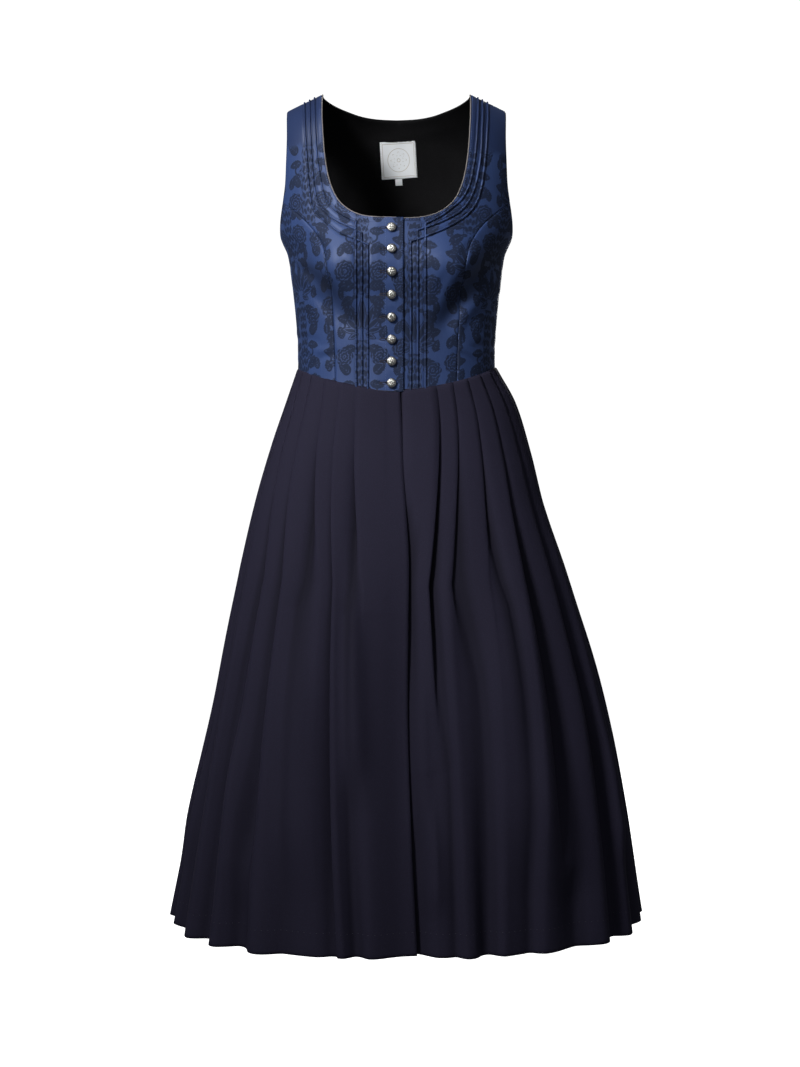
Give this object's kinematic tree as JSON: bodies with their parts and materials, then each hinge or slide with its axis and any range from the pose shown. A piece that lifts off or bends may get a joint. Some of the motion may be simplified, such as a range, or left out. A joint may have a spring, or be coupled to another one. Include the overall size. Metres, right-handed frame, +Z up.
{
  "type": "dirndl",
  "caption": "Sleeveless midi dirndl, filled out and hollow: damask bodice with round neck, corded tucks and domed buttons, and a knife-pleated skirt.",
  "frame": {"origin": "midway between the shoulders, at the height of the middle of the shoulder seams", "axes": "+Z up, -Y towards the front of the dress, -X towards the wearer's right"},
  "size_m": [0.642, 0.4928, 1.1136],
  "materials": {
    "damask": "mid-blue satin jacquard with dark navy flowers and leaves",
    "lining": "matt black lining",
    "skirt": "fine matt navy twill",
    "silver": "old silver, domed, softly worn",
    "label": "white woven satin"
  },
  "bodies": {
    "root": {"bodice_front_right": "damask", "bodice_front_left": "damask", "bodice_side_front_right": "damask", "bodice_side_front_left": "damask", "bodice_side_back_right": "damask", "bodice_side_back_left": "damask", "bodice_back": "damask", "lining_back": "lining", "tucks_right": "damask", "tucks_left": "damask", "button_1": "silver", "button_2": "silver", "button_3": "silver", "button_4": "silver", "button_5": "silver", "button_6": "silver", "button_7": "silver", "button_8": "silver", "label": "label", "size_tab": "label", "skirt_front_right": "skirt", "skirt_front_left": "skirt", "skirt_back": "skirt"}
  },
  "joints": []
}
